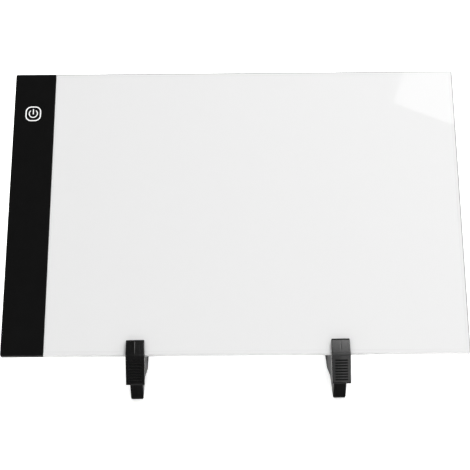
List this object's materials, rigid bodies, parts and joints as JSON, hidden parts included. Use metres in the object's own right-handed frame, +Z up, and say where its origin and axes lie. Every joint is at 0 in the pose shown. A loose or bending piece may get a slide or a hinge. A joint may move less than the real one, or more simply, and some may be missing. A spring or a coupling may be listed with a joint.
{
  "type": "led tracing pad",
  "caption": "Slim A4 light pad for tracing, with a black touch-key strip down one short side, leaning back on two black clip-on stands with sprung, ribbed levers.",
  "frame": {"origin": "centre of the underside of the bounding box: on the table, midway between the grip tips in front and the pad's top edge behind", "axes": "+X along the pad's long edge, to the right as seen from the front; the pad faces -Y and leans back towards +Y; +Z up"},
  "size_m": [0.335, 0.1912, 0.1952],
  "materials": {
    "frosted_acrylic": "glossy face over a white diffuser, unlit",
    "black_strip": "satin black",
    "bonding_tape": "matt",
    "diffuser_film": "matt film",
    "clear_guide": "clear, polished",
    "reflector_film": "bright white film",
    "white_cover": "fine moulded texture",
    "led_board": "solder resist",
    "circuit_board": "solder resist",
    "tinned_copper": "tinned",
    "chip_black": "matt epoxy",
    "red_wire": "satin insulation",
    "black_wire": "satin insulation",
    "plated_steel": "nickel plated",
    "spring_steel": "drawn wire",
    "black_nylon": "moulded, satin",
    "black_rubber": "matt",
    "grey_rubber": "matt"
  },
  "bodies": {
    "pad": {"front_panel": "frosted_acrylic", "control_strip": "black_strip", "bonding_tape": "bonding_tape", "diffuser_sheet": "diffuser_film", "light_guide_plate": "clear_guide", "reflector_sheet": "reflector_film", "edge_frame": "white_cover", "rear_cover": "white_cover", "led_strip": "led_board", "control_board": "circuit_board", "touch_electrode": "tinned_copper", "touch_chip": "chip_black", "driver_chip": "chip_black", "led_lead_positive": "red_wire", "led_lead_negative": "black_wire", "power_socket": "plated_steel", "rubber_foot_upper_left": "grey_rubber", "rubber_foot_upper_right": "grey_rubber", "rubber_foot_lower_left": "grey_rubber", "rubber_foot_lower_right": "grey_rubber"},
    "left_stand": {"left_stand_body": "black_nylon", "left_pivot_pin": "plated_steel", "left_rear_jaw_rubber": "black_rubber", "left_toe_sole": "black_rubber", "left_heel_sole": "black_rubber"},
    "left_lever": {"left_clamp_lever": "black_nylon", "left_front_jaw_rubber": "black_rubber", "left_torsion_spring": "spring_steel"},
    "right_stand": {"right_stand_body": "black_nylon", "right_pivot_pin": "plated_steel", "right_rear_jaw_rubber": "black_rubber", "right_toe_sole": "black_rubber", "right_heel_sole": "black_rubber"},
    "right_lever": {"right_clamp_lever": "black_nylon", "right_front_jaw_rubber": "black_rubber", "right_torsion_spring": "spring_steel"}
  },
  "joints": [
    {"name": "left_stand_slide", "type": "slide", "parent": "pad", "child": "left_stand", "axis": [1, 0, 0], "range_m": [-0.085, 0.055]},
    {"name": "left_lever_hinge", "type": "hinge", "parent": "left_stand", "child": "left_lever", "pos_m": [-0.0711, -0.08394, 0.0335], "axis": [0.9998, 0.0175, 0], "range_deg": [0, 25], "stiffness_Nm_per_rad": 0.25, "springref_deg": -34.38},
    {"name": "right_stand_slide", "type": "slide", "parent": "pad", "child": "right_stand", "axis": [1, 0, 0], "range_m": [-0.055, 0.085]},
    {"name": "right_lever_hinge", "type": "hinge", "parent": "right_stand", "child": "right_lever", "pos_m": [0.0752, -0.08394, 0.0335], "axis": [0.9998, 0.0175, 0], "range_deg": [0, 25], "stiffness_Nm_per_rad": 0.25, "springref_deg": -34.38}
  ]
}
